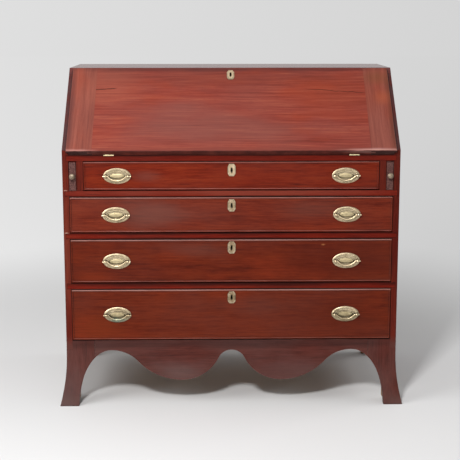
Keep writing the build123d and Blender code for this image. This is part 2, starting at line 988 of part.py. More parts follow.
def loper_knob():
    """A turned knob with a spigot, on the right loper."""
    rim = knob_length * knob_rim_share
    outline = [
        Polyline(
            (0, knob_length), (0, -knob_spigot_length), (knob_spigot_radius, -knob_spigot_length),
            (knob_spigot_radius, 0), (knob_base_radius, 0),
        ),
        ThreePointArc((knob_base_radius, 0), (knob_neck_radius, rim / 2), (knob_radius, rim)),
        TangentArc((0, knob_length), (knob_radius, rim), tangent=(1, 0)),
    ]
    turned = revolve(Plane.XZ * make_face(outline), Axis.Z)
    return facing((loper_inner + loper_outer) / 2, drawer_centre(1)) * turned


def gallery_shelf():
    """Shelf over the small drawers."""
    reach = inner + shelf_housing
    return block((-reach, reach), (gallery_front, board_back), (shelf_level, shelf_level + shelf_thickness))


def bay_centres(count):
    """Middles of equal bays between the sides, with a divider between each two."""
    width = (2 * inner - (count - 1) * divider_thickness) / count
    return width, [-inner + width / 2 + index * (width + divider_thickness) for index in range(count)]


def gallery_dividers():
    """Uprights between the small drawers and between the pigeonholes."""
    dividers = []
    rows = [
        (small_drawer_count, writing_level, shelf_level),
        (pigeonhole_count, shelf_level + shelf_thickness, top_shoulder),
    ]
    for count, low, high in rows:
        width, centres = bay_centres(count)
        for centre in centres[1:]:
            edge = centre - width / 2
            across = (edge - divider_thickness, edge)
            dividers.append(block(across, (gallery_front, board_back), (low, high)))
    return dividers


def pigeonhole_valances():
    """Arched strips at the top of each pigeonhole."""
    width, centres = bay_centres(pigeonhole_count)
    low = top_shoulder - valance_height
    arch = Pos(0, low) * elliptical_bar(width / 2 - valance_foot, valance_rise)
    strip = Pos(0, low + valance_height / 2) * Rectangle(width, valance_height) - arch
    valance = along_y(strip, (gallery_front, gallery_front + valance_thickness))
    return [Pos(centre, 0, 0) * valance for centre in centres]


def small_drawer(index):
    """A small drawer: front, sides, back, bottom and knob."""
    width, centres = bay_centres(small_drawer_count)
    reach = width / 2 - small_drawer_gap
    low = writing_level + runner_gap
    high = shelf_level - small_drawer_gap
    near = gallery_front
    far = small_drawer_end
    lip = small_front / 2
    floor = low + small_panel
    face = block((-reach, reach), (near, near + small_front), (low, high))
    side = block((reach - small_side, reach), (near + lip, far), (floor, high))
    panel = block((-reach, reach), (near + lip, far), (low, floor))
    rear = block((-reach + small_side, reach - small_side), (far - small_side, far), (floor, high))
    sides = pair(side)
    for piece in sides + [panel]:
        face -= piece
    knob = Pos(0, near - front, 0) * facing(0, (low + high) / 2) * small_knob()
    place = Pos(centres[index], 0, 0)
    return [place * piece for piece in [face] + sides + [rear, panel, knob]]


def small_knob():
    """A turned wooden knob that stands on the X-Y plane."""
    crown = (0, small_knob_length)
    neck = (small_knob_neck, small_knob_length * knob_neck_share)
    rim = (small_knob_radius, small_knob_length * knob_rim_share)
    outline = [
        Polyline(crown, (0, 0), (small_knob_base, 0), neck, rim),
        TangentArc(crown, rim, tangent=(1, 0)),
    ]
    return revolve(Plane.XZ * make_face(outline), Axis.Z)


def case_nodes():
    """The fixed pieces by name."""
    return {
        "right_side": [side_board()],
        "left_side": [mirrored(side_board())],
        "top_board": [top_board()],
        "bottom_board": [bottom_board()],
        "writing_board": [writing_board()],
        "back_boards": back_boards(),
        "drawer_rails": drawer_rails(),
        "drawer_runners": drawer_runners() + drawer_stops(),
        "loper_partitions": loper_partitions(),
        "front_skirt": [front_skirt()],
        "side_skirts": pair(side_skirt()),
        "front_foot_faces": pair(front_foot_face()),
        "front_foot_returns": pair(front_foot_return()),
        "rear_feet": pair(rear_foot()),
        "rear_brackets": pair(rear_bracket()),
        "foot_blocks": foot_blocks(),
        "gallery_shelf": [gallery_shelf()],
        "gallery_dividers": gallery_dividers(),
        "pigeonhole_valances": pigeonhole_valances(),
        "hinge_case_leaves": hinge_case_leaves(),
    }


def moving_nodes():
    """The pieces of the lid, drawers and lopers by name."""
    nodes = {
        "lid_panel": [lid_panel()],
        "lid_cleats": lid_cleats(),
        "lid_lock": lid_lock(),
        "hinge_lid_leaves": hinge_lid_leaves(),
        "loper_right": [loper()],
        "loper_left": [mirrored(loper())],
        "loper_knob_right": [loper_knob()],
        "loper_knob_left": [mirrored(loper_knob())],
    }
    for number in drawer_heights:
        name = f"drawer_{number}"
        nodes[f"{name}_front"] = [drawer_front(number)]
        nodes[f"{name}_cockbead"] = drawer_cockbead(number)
        nodes[f"{name}_box"] = drawer_box(number)
        nodes[f"{name}_pull_plates"] = drawer_pull_plates(number)
        nodes[f"{name}_lock"] = drawer_lock(number)
        nodes[f"{name}_left_bail"] = [drawer_bail(number, -1)]
        nodes[f"{name}_right_bail"] = [drawer_bail(number, 1)]
    for index in range(small_drawer_count):
        nodes[f"small_drawer_{index + 1}"] = small_drawer(index)
    return nodes


def main():
    """Writes one STEP file for each node."""
    os.makedirs("parts", exist_ok=True)
    for name, pieces in (case_nodes() | moving_nodes()).items():
        solids = [solid for piece in pieces for solid in piece.solids()]
        export_step(Compound(children=solids), f"parts/{name}.step")
        print(name, len(solids))


if __name__ == "__main__":
    main()
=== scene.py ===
import json
import math

import bmesh
import bpy
from mathutils import Matrix, Vector


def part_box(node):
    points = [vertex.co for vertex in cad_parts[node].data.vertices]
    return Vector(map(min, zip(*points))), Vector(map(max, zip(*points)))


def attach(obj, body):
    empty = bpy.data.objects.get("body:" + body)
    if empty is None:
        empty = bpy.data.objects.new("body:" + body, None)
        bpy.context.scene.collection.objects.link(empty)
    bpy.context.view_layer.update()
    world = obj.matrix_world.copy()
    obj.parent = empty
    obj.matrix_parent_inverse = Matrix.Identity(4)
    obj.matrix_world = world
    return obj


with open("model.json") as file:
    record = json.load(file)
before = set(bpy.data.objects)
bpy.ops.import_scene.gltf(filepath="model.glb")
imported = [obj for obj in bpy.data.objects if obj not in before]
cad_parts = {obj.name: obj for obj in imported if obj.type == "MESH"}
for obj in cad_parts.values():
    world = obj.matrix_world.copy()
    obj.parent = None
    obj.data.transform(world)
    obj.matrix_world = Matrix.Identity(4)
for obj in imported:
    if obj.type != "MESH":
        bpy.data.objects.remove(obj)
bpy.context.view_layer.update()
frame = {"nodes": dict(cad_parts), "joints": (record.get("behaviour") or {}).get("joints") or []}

nodes = frame["nodes"]
fallRange = next(joint for joint in frame["joints"] if joint["name"] == "lid_fall")["range_deg"]
slope = math.radians(180 - fallRange[1])  # angle of the closed lid above level
drawerNumbers = (1, 2, 3, 4)  # the long drawers from the top down, and the small ones behind the lid
print("frame loaded:", len(nodes), "nodes")


def mm(size):
    return size / 1000  # the frame is in metres


def per(size):
    return 1000 / size  # repeats in a metre of a pattern of this size in mm


def hexColor(text):
    parts = [int(text[at:at + 2], 16) / 255 for at in (1, 3, 5)]
    return [c / 12.92 if c <= 0.04045 else ((c + 0.055) / 1.055) ** 2.4 for c in parts] + [1.0]


def addNode(tree, kind, sockets=None, stops=None, **settings):
    node = tree.nodes.new(kind)
    for name, value in settings.items():
        setattr(node, name, value)
    for key, value in (sockets or {}).items():
        if isinstance(value, bpy.types.NodeSocket):
            tree.links.new(value, node.inputs[key])
        else:
            node.inputs[key].default_value = value
    if stops:
        ramp = node.color_ramp
        while len(ramp.elements) < len(stops):
            ramp.elements.new(1.0)
        for element, (place, color) in zip(ramp.elements, stops):
            element.position = place
            element.color = color
    return node


def newMaterial(name):
    material = bpy.data.materials.new(name)
    material.use_nodes = True
    material.node_tree.nodes.clear()
    return material, material.node_tree


def dress(names, material):
    for name in names:
        nodes[name].data.materials.clear()
        nodes[name].data.materials.append(material)


# Camera at the place where the photograph was taken from, a little higher than the top
camera = {
    "x": -60, "y": -3488, "z": 1240,  # mm
    "yaw": 0.97, "pitch": 9.114,  # degrees to the right and down
    "lens": 81.85, "shift": -0.10,
}
lensData = bpy.data.cameras.new("camera")
lensData.lens = camera["lens"]
lensData.shift_y = camera["shift"]
viewer = bpy.data.objects.new("camera", lensData)
viewer.location = [mm(camera[axis]) for axis in "xyz"]
viewer.rotation_euler = (math.radians(90 - camera["pitch"]), 0, math.radians(-camera["yaw"]))
bpy.context.scene.collection.objects.link(viewer)
bpy.context.scene.camera = viewer
bpy.context.scene.view_settings.view_transform = "Standard"
print("camera placed")


# Studio, in metres: a small lamp high in front, a large soft one at the left, a weak one at the right, and a
# pale room
studio = {
    "lamps": {
        "key": {"from": (-0.65, -2.6, 2.6), "to": (0, -0.15, 0.45), "size": 0.4, "watts": 80},
        "left": {"from": (-2.3, -1.2, 2.1), "to": (0, 0, 0.4), "size": 1.6, "watts": 38},
        "right": {"from": (2.5, 0.3, 2.0), "to": (0.2, 0, 0.1), "size": 1.2, "watts": 17},
    },
    "room": ("#e6e6e6", "#cdcdcd"),  # left and right
    "roomSpread": 0.5, "roomLight": 0.36,
    "floor": "#dedede", "floorRadius": 30.0, "floorSides": 96,
    "fade": (0.8, 2.4),  # where the floor begins to turn into the room, and where it is all room
}
for name, lamp in studio["lamps"].items():
    lampData = bpy.data.lights.new(name, "AREA")
    lampData.energy = lamp["watts"]
    lampData.size = lamp["size"]
    lampObject = bpy.data.objects.new(name, lampData)
    lampObject.location = lamp["from"]
    aim = Vector(lamp["to"]) - Vector(lamp["from"])
    lampObject.rotation_euler = aim.to_track_quat("-Z", "Y").to_euler()
    bpy.context.scene.collection.objects.link(lampObject)


def roomColor(tree, direction):
    # the room is paler on the side of the large lamp
    sideways = addNode(tree, "ShaderNodeSeparateXYZ", {0: direction}).outputs["X"]
    spread = studio["roomSpread"]
    share = addNode(
        tree, "ShaderNodeMapRange", {"Value": sideways, "From Min": -spread, "From Max": spread}
    ).outputs[0]
    left, right = [hexColor(tone) for tone in studio["room"]]
    return addNode(tree, "ShaderNodeMix", {0: share, 6: left, 7: right}, data_type="RGBA").outputs[2]


def makeRoom():
    # eye and reflections see the room's colours, and everything else gets a weaker white light from it
    world = bpy.data.worlds.new("room")
    bpy.context.scene.world = world
    world.use_nodes = True
    tree = world.node_tree
    tree.nodes.clear()
    rays = addNode(tree, "ShaderNodeLightPath").outputs
    seen = addNode(
        tree, "ShaderNodeMath", {0: rays["Is Camera Ray"], 1: rays["Is Glossy Ray"]}, use_clamp=True
    ).outputs[0]
    light = addNode(tree, "ShaderNodeBackground", {"Color": (1, 1, 1, 1), "Strength": studio["roomLight"]})
    around = addNode(tree, "ShaderNodeTexCoord").outputs["Generated"]
    shown = addNode(tree, "ShaderNodeBackground", {"Color": roomColor(tree, around), "Strength": 1.0})
    mixed = addNode(tree, "ShaderNodeMixShader", {0: seen, 1: light.outputs[0], 2: shown.outputs[0]})
    addNode(tree, "ShaderNodeOutputWorld", {"Surface": mixed.outputs[0]})


def makeFloor():
    # matt paper floor: takes the shadow near the desk and turns into the room's colour far away
    material, tree = newMaterial("matt_paper_floor")
    where = addNode(tree, "ShaderNodeTexCoord").outputs["Object"]
    away = addNode(tree, "ShaderNodeVectorMath", {0: where}, operation="LENGTH").outputs["Value"]
    near, far = studio["fade"]
    faded = addNode(
        tree, "ShaderNodeMapRange", {"Value": away, "From Min": near, "From Max": far},
        interpolation_type="SMOOTHSTEP",
    ).outputs[0]
    seen = addNode(tree, "ShaderNodeLightPath").outputs["Is Camera Ray"]
    amount = addNode(tree, "ShaderNodeMath", {0: faded, 1: seen}, operation="MULTIPLY").outputs[0]
    paper = addNode(tree, "ShaderNodeBsdfDiffuse", {"Color": hexColor(studio["floor"])})
    outward = addNode(tree, "ShaderNodeVectorMath", {0: where}, operation="NORMALIZE").outputs[0]
    haze = addNode(tree, "ShaderNodeEmission", {"Color": roomColor(tree, outward), "Strength": 1.0})
    mixed = addNode(tree, "ShaderNodeMixShader", {0: amount, 1: paper.outputs[0], 2: haze.outputs[0]})
    addNode(tree, "ShaderNodeOutputMaterial", {"Surface": mixed.outputs[0]})
    shape = bmesh.new()
    bmesh.ops.create_circle(
        shape, cap_ends=True, segments=studio["floorSides"], radius=studio["floorRadius"]
    )
    mesh = bpy.data.meshes.new("floor")
    shape.to_mesh(mesh)
    shape.free()
    mesh.materials.append(material)
    floor = bpy.data.objects.new("floor", mesh)
    bpy.context.scene.collection.objects.link(floor)


makeRoom()
makeFloor()
print("studio lit")


def layOver(tree, tone, color, measure, levels, amount=1.0, curve="LINEAR"):
    # a colour over a tone: nothing at the measure's first level, the whole amount at its second
    start, full = levels
    share = addNode(
        tree, "ShaderNodeMapRange",
        {"Value": measure, "From Min": start, "From Max": full, "To Max": amount}, interpolation_type=curve,
    ).outputs[0]
    return addNode(
        tree, "ShaderNodeMix", {0: share, 6: tone, 7: hexColor(color)}, data_type="RGBA"
    ).outputs[2]


stainBreak = 1.2  # how far a pattern moves the outline of a stain
cornerSamples = 6  # rays that look for edges and corners
noiseMiddle = (0.5, 0.5, 0.5)


def addStain(tree, tone, stain, where, pattern, look):
    # a mark that has a place of its own, in mm, with an outline that the pattern breaks up
    centre, reach = [mm(Vector(stain[key])) for key in ("at", "reach")]
    near = addNode(tree, "ShaderNodeVectorMath", {0: where, 1: centre}, operation="SUBTRACT").outputs[0]
    near = addNode(tree, "ShaderNodeVectorMath", {0: near, 1: reach}, operation="DIVIDE").outputs[0]
    near = addNode(tree, "ShaderNodeVectorMath", {0: near}, operation="LENGTH").outputs["Value"]
    near = addNode(
        tree, "ShaderNodeMath", {0: pattern, 1: -stainBreak, 2: near}, operation="MULTIPLY_ADD"
    ).outputs[0]
    return layOver(tree, tone, stain["tone"], near, look["stainLevels"], stain["amount"], look["stainCurve"])


# Grain directions as turns that bring the grain to the pattern's X axis
alongX = (0, 0, 0)
alongY = (0, 0, math.radians(-90))
alongZ = (0, math.radians(90), 0)
upSlope = (-slope, 0, math.radians(-90))

# What a board has unless its own settings differ. A pattern is its length along the grain and its width, both
# in mm, then the detail and roughness of its noise
boardLook = {
    "start": (0, 0, 0),  # metres from the middle of the pattern
    "sidesAlongY": False,
    "bend": (650, 110, 2, 0.5), "sway": 30,  # slow bends of the growth rings, and their reach in mm
    "figure": (900, 26, 3, 0.5), "streak": (200, 3.2, 4, 0.6), "fleck": (60, 6, 3, 0.6),
    "streakShare": 0.6, "fleckShare": 0.4,
    "stops": (0.32, 0.50, 0.68),  # of the dark, the middle and the light tone on the mixed pattern
    "pore": (22, 1.3, 1, 0.5),  # real pores are about 0.2 mm wide: drawn coarser, so that they show
    "poreRange": (0.58, 0.72), "poreDark": 0.4, "poreDepth": 0.6,
    "cloud": (300, 130, 4, 0.55),
    "bloomRange": (0.45, 0.72), "bloom": 0.4, "bloomTone": "#80504a",
    "warmRange": (0.46, 0.28), "warmth": 0.4, "warmTone": "#842d12",
    "stains": (), "stainLevels": (0.4, -0.5), "stainCurve": "SMOOTHSTEP",
    "endRange": (0.75, 0.9), "endDots": 2.5, "endStops": (0.35, 0.65), "endTones": ("#3b2220", "#6b4a45"),
    "edgeWearAndShade": 0.5, "edgeWearAndShadeTone": "#b58a74", "edgeWearAndShadeWidth": 2.0, "edgeWearAndShadeEven": 0, "edgeWearAndShadeTurn": (0.985, 0.80),
    "patch": 45, "patchRange": (0.38, 0.62),
    "faces": (), "facePatchRange": (0.3, 0.6), "faceEven": 0.35,
    "cracks": (),
    # painted shade in corners and gaps: its amount, tone, reach in mm, and the occlusion levels where it
    # starts and is full
    "cornerShade": 0.85, "cornerShadeTone": "#140705", "cornerShadeReach": 8, "cornerShadeRange": (0.9, 0.4),
    "roughRange": (0.3, 0.7), "roughSpread": (0.06, -0.04), "endRough": 0.75,
    "relief": 0.25, "reliefDepth": 0.25,
    "ior": 1.5, "gloss": 0.35, "upRange": (0.9, 0.98),
}


def drawnNoise(tree, space, pattern):
    # noise drawn out along the grain
    length, width, detail, roughness = pattern
    scale = (per(length), per(width), per(width))
    drawn = addNode(tree, "ShaderNodeMapping", {"Vector": space, "Scale": scale}).outputs[0]
    return addNode(
        tree, "ShaderNodeTexNoise", {"Vector": drawn, "Scale": 1, "Detail": detail, "Roughness": roughness}
    ).outputs


def grainSpace(tree, where, wood):
    # the space that the grain is drawn in, and how far a face cuts across the grain
    base = addNode(
        tree, "ShaderNodeMapping",
        {"Vector": where["Object"], "Rotation": wood["grain"], "Location": wood["start"]},
    ).outputs[0]
    if wood["sidesAlongY"]:  # boxes: side walls run front to back, the rest runs across, with no end grain
        turned = addNode(
            tree, "ShaderNodeMapping", {"Vector": where["Object"], "Rotation": alongY}
        ).outputs[0]
        side = addNode(tree, "ShaderNodeSeparateXYZ", {0: where["Normal"]}).outputs["X"]
        side = addNode(tree, "ShaderNodeMath", {0: side}, operation="ABSOLUTE").outputs[0]
        base = addNode(tree, "ShaderNodeMix", {0: side, 4: base, 5: turned}, data_type="VECTOR").outputs[1]
        return base, 0.0
    cut = addNode(
        tree, "ShaderNodeMapping", {"Vector": where["Normal"], "Rotation": wood["grain"]},
        vector_type="VECTOR",
    ).outputs[0]
    cut = addNode(tree, "ShaderNodeSeparateXYZ", {0: cut}).outputs["X"]
    cut = addNode(tree, "ShaderNodeMath", {0: cut}, operation="ABSOLUTE").outputs[0]
    start, full = wood["endRange"]
    cut = addNode(tree, "ShaderNodeMapRange", {"Value": cut, "From Min": start, "From Max": full}).outputs[0]
    return base, cut


def numberPlanks(tree, where, planks):
    # boards one above another: counts them from the bottom, and draws lots for each
    level = addNode(tree, "ShaderNodeSeparateXYZ", {0: where["Object"]}).outputs["Z"]
    count = addNode(
        tree, "ShaderNodeMapRange",
        {"Value": level, "From Min": planks["bottom"], "From Max": planks["top"], "To Max": planks["count"]},
        clamp=False,
    ).outputs[0]
    whole = addNode(tree, "ShaderNodeMath", {0: count}, operation="FLOOR").outputs[0]
    return count, addNode(tree, "ShaderNodeTexWhiteNoise", {"W": whole}, noise_dimensions="1D").outputs


def markPlanks(tree, tone, where, wood, count, lots):
    # planks of different shades with dark joints, and flush iron nails at each end, with rust round them
    planks = wood["planks"]
    half = 0.5  # of a plank, or of the room for a nail
    tone = layOver(tree, tone, wood["tones"][0], lots["Value"], (0, 1), planks["shade"])
    height = (planks["top"] - planks["bottom"]) / planks["count"]
    width = mm(planks["joint"]) / height
    joint = addNode(tree, "ShaderNodeMath", {0: count, 1: half}, operation="PINGPONG").outputs[0]
    tone = layOver(tree, tone, planks["jointTone"], joint, (width, width / 2))
    across = addNode(tree, "ShaderNodeSeparateXYZ", {0: where["Object"]}).outputs["X"]
    across = addNode(tree, "ShaderNodeMath", {0: across}, operation="ABSOLUTE").outputs[0]
    across = addNode(
        tree, "ShaderNodeMath", {0: across, 1: planks["nailReach"]}, operation="SUBTRACT"
    ).outputs[0]
    nails = planks["nails"]
    up = addNode(tree, "ShaderNodeMath", {0: count, 1: nails, 2: half}, operation="MULTIPLY_ADD").outputs[0]
    up = addNode(tree, "ShaderNodeMath", {0: up, 1: half}, operation="PINGPONG").outputs[0]
    up = addNode(tree, "ShaderNodeMath", {0: up, 1: height / nails}, operation="MULTIPLY").outputs[0]
    nail = addNode(tree, "ShaderNodeCombineXYZ", {0: across, 1: up}).outputs[0]
    nail = addNode(tree, "ShaderNodeVectorMath", {0: nail}, operation="LENGTH").outputs["Value"]
    for ring in planks["nailRings"]:
        levels = (mm(ring["outer"]), mm(ring["inner"]))
        tone = layOver(tree, tone, ring["tone"], nail, levels, ring["amount"])
    return tone


# The wave is in mm. Core and fade are shares of a crack's width and of half its length
crackLook = {"wave": 30, "core": 0.3, "fade": 0.75, "tone": "#1d0b08"}


def addCrack(tree, tone, crack, where):
    # a shake in the board: a thin dark line with a wobble, fading at both ends
    split = addNode(tree, "ShaderNodeSeparateXYZ", {0: where}).outputs
    (x0, z0), (x1, z1) = [[mm(value) for value in end] for end in crack["ends"]]
    line = addNode(
        tree, "ShaderNodeMapRange",
        {"Value": split["X"], "From Min": x0, "From Max": x1, "To Min": z0, "To Max": z1}, clamp=False,
    ).outputs[0]
    wobble = addNode(
        tree, "ShaderNodeTexNoise", {"Vector": where, "Scale": per(crackLook["wave"]), "Detail": 3}
    ).outputs["Fac"]
    line = addNode(
        tree, "ShaderNodeMath", {0: wobble, 1: mm(crack["wobble"]), 2: line}, operation="MULTIPLY_ADD"
    ).outputs[0]
    gap = addNode(tree, "ShaderNodeMath", {0: split["Z"], 1: line}, operation="SUBTRACT").outputs[0]
    gap = addNode(tree, "ShaderNodeMath", {0: gap}, operation="ABSOLUTE").outputs[0]
    reach = abs(x1 - x0) / 2
    far = addNode(tree, "ShaderNodeMath", {0: split["X"], 1: (x0 + x1) / 2}, operation="SUBTRACT").outputs[0]
    far = addNode(tree, "ShaderNodeMath", {0: far}, operation="ABSOLUTE").outputs[0]
    fade = addNode(
        tree, "ShaderNodeMapRange",
        {"Value": far, "From Min": reach, "From Max": reach * crackLook["fade"], "To Max": crack["strength"]},
    ).outputs[0]
    width = mm(crack["width"])
    return layOver(tree, tone, crackLook["tone"], gap, (width, width * crackLook["core"]), fade)


def wearAndShadeBoard(tree, tone, where, wood):
    # arrises, in patches: pale with wear on some boards, darkened with painted shade on others
    rounded = addNode(
        tree, "ShaderNodeBevel", {"Radius": mm(wood["edgeWearAndShadeWidth"])}, samples=cornerSamples
    ).outputs[0]
    flat = addNode(tree, "ShaderNodeNewGeometry").outputs["True Normal"]
    turn = addNode(
        tree, "ShaderNodeVectorMath", {0: rounded, 1: flat}, operation="DOT_PRODUCT"
    ).outputs["Value"]
    patches = addNode(
        tree, "ShaderNodeTexNoise", {"Vector": where["Object"], "Scale": per(wood["patch"]), "Detail": 3}
    ).outputs["Fac"]
    start, full = wood["patchRange"]
    edgeWearAndShade = wood["edgeWearAndShade"]
    share = addNode(
        tree, "ShaderNodeMapRange",
        {
            "Value": patches, "From Min": start, "From Max": full,
            "To Min": edgeWearAndShade * wood["edgeWearAndShadeEven"], "To Max": edgeWearAndShade,
        },
    ).outputs[0]
    tone = layOver(tree, tone, wood["edgeWearAndShadeTone"], turn, wood["edgeWearAndShadeTurn"], share)

    start, full = wood["facePatchRange"]
    for face in wood["faces"]:  # faces that look one way get a tone of their own, in patches: painted shade on the lid's lower faces, painted highlight on beads that look up, and a darker tone on the sides' sloping edges
        amount = face["amount"]
        share = addNode(
            tree, "ShaderNodeMapRange",
            {
                "Value": patches, "From Min": start, "From Max": full,
                "To Min": amount * wood["faceEven"], "To Max": amount,
            },
        ).outputs[0]
        lie = addNode(
            tree, "ShaderNodeVectorMath", {0: where["Normal"], 1: face["towards"]}, operation="DOT_PRODUCT"
        ).outputs["Value"]
        tone = layOver(tree, tone, face["tone"], lie, (face["from"], face["to"]), share)
    if "band" in wood:  # a change of colour with height
        band = wood["band"]
        level = addNode(tree, "ShaderNodeSeparateXYZ", {0: where["Object"]}).outputs["Z"]
        tone = layOver(tree, tone, band["tone"], level, (mm(band["from"]), mm(band["to"])), band["amount"])
    for crack in wood["cracks"]:
        tone = addCrack(tree, tone, crack, where["Object"])

    # painted shade in corners and gaps, darker where the occlusion is low
    clear = addNode(
        tree, "ShaderNodeAmbientOcclusion", {"Distance": mm(wood["cornerShadeReach"])}, samples=cornerSamples
    ).outputs["AO"]
    return layOver(tree, tone, wood["cornerShadeTone"], clear, wood["cornerShadeRange"], wood["cornerShade"])


def woodMaterial(name, settings):
    wood = {**boardLook, **settings}
    material, tree = newMaterial(name)
    where = addNode(tree, "ShaderNodeTexCoord").outputs
    base, cut = grainSpace(tree, where, wood)
    if "planks" in wood:  # each plank has a grain of its own
        count, lots = numberPlanks(tree, where, wood["planks"])
        base = addNode(tree, "ShaderNodeVectorMath", {0: base, 1: lots["Color"]}).outputs[0]

    # the growth rings bend slowly to both sides of a straight grain
    bends = drawnNoise(tree, base, wood["bend"])["Color"]
    bends = addNode(
        tree, "ShaderNodeVectorMath", {0: bends, 1: noiseMiddle}, operation="SUBTRACT"
    ).outputs[0]
    sway = mm(wood["sway"])
    bent = addNode(
        tree, "ShaderNodeVectorMath", {0: bends, 1: (0, sway, sway), 2: base}, operation="MULTIPLY_ADD"
    ).outputs[0]

    # broad figure, narrow streaks, flecks and pores, all drawn out along the grain
    figure, streaks, flecks, pores = [
        drawnNoise(tree, bent, wood[key])["Fac"] for key in ("figure", "streak", "fleck", "pore")
    ]
    start, full = wood["poreRange"]
    pores = addNode(
        tree, "ShaderNodeMapRange", {"Value": pores, "From Min": start, "From Max": full}
    ).outputs[0]
    mix = addNode(
        tree, "ShaderNodeMix", {0: wood["streakShare"], 2: figure, 3: streaks}, data_type="FLOAT"
    ).outputs[0]
    mix = addNode(
        tree, "ShaderNodeMix", {0: wood["fleckShare"], 2: mix, 3: flecks}, data_type="FLOAT"
    ).outputs[0]
    stops = [(at, hexColor(text)) for at, text in zip(wood["stops"], wood["tones"])]
    tone = addNode(tree, "ShaderNodeValToRGB", {"Fac": mix}, stops=stops).outputs["Color"]
    if "behind" in wood:  # the box behind a small drawer's front is another wood
        level, tones = wood["behind"]
        stops = [(at, hexColor(text)) for at, text in zip(wood["stops"], tones)]
        other = addNode(tree, "ShaderNodeValToRGB", {"Fac": mix}, stops=stops).outputs["Color"]
        depth = addNode(tree, "ShaderNodeSeparateXYZ", {0: where["Object"]}).outputs["Y"]
        past = addNode(tree, "ShaderNodeMath", {0: depth, 1: level}, operation="GREATER_THAN").outputs[0]
        tone = addNode(tree, "ShaderNodeMix", {0: past, 6: tone, 7: other}, data_type="RGBA").outputs[2]
    if "planks" in wood:
        tone = markPlanks(tree, tone, where, wood, count, lots)
    tone = layOver(tree, tone, wood["tones"][0], pores, (0, 1), wood["poreDark"])

    # clouded polish: grey bloom in some places, warm stain in others
    cloud = drawnNoise(tree, base, wood["cloud"])["Fac"]
    tone = layOver(tree, tone, wood["bloomTone"], cloud, wood["bloomRange"], wood["bloom"])
    tone = layOver(tree, tone, wood["warmTone"], cloud, wood["warmRange"], wood["warmth"])
    for stain in wood["stains"]:
        tone = addStain(tree, tone, stain, where["Object"], cloud, wood)

    # end grain: darker and rougher where a face cuts the grain
    dots = addNode(
        tree, "ShaderNodeTexNoise", {"Vector": base, "Scale": per(wood["endDots"]), "Detail": 2}
    ).outputs["Fac"]
    stops = [(at, hexColor(text)) for at, text in zip(wood["endStops"], wood["endTones"])]
    endTone = addNode(tree, "ShaderNodeValToRGB", {"Fac": dots}, stops=stops).outputs["Color"]
    tone = addNode(tree, "ShaderNodeMix", {0: cut, 6: tone, 7: endTone}, data_type="RGBA").outputs[2]
    tone = wearAndShadeBoard(tree, tone, where, wood)

    start, full = wood["roughRange"]
    duller, shinier = [wood["rough"] + change for change in wood["roughSpread"]]
    rough = addNode(
        tree, "ShaderNodeMapRange",
        {"Value": mix, "From Min": start, "From Max": full, "To Min": duller, "To Max": shinier},
    ).outputs[0]
    rough = addNode(
        tree, "ShaderNodeMix", {0: cut, 2: rough, 3: wood["endRough"]}, data_type="FLOAT"
    ).outputs[0]
    height = addNode(
        tree, "ShaderNodeMath", {0: pores, 1: -wood["poreDepth"], 2: streaks}, operation="MULTIPLY_ADD"
    ).outputs[0]
    bump = addNode(
        tree, "ShaderNodeBump",
        {"Height": height, "Strength": wood["relief"], "Distance": mm(wood["reliefDepth"])},
    ).outputs[0]
    gloss = wood["gloss"]
    if "upGloss" in wood:  # a level face that is waxed more than the upright ones
        level = addNode(tree, "ShaderNodeSeparateXYZ", {0: where["Normal"]}).outputs["Z"]
        start, full = wood["upRange"]
        gloss = addNode(
            tree, "ShaderNodeMapRange",
            {"Value": level, "From Min": start, "From Max": full, "To Min": gloss, "To Max": wood["upGloss"]},
        ).outputs[0]
    surface = addNode(
        tree, "ShaderNodeBsdfPrincipled",
        {
            "Base Color": tone, "Roughness": rough, "Normal": bump,
            "IOR": wood["ior"], "Specular IOR Level": gloss,
        },
    )
    addNode(tree, "ShaderNodeOutputMaterial", {"Surface": surface.outputs[0]})
    return material


# Places of marks, in mm
drawerY = -250
caseY = -246  # front edges of the case
proudY = -255  # beads and pulls
stileX = 521
footJointX = 439.4  # where a foot meets the skirt
lobeX = 159.5
toeX = 545
allAcross = 1500  # a reach that crosses the whole desk
beadLow, beadHigh = [
    {number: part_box(f"drawer_{number}_cockbead")[end].z * 1000 for number in drawerNumbers} for end in (0, 1)
]
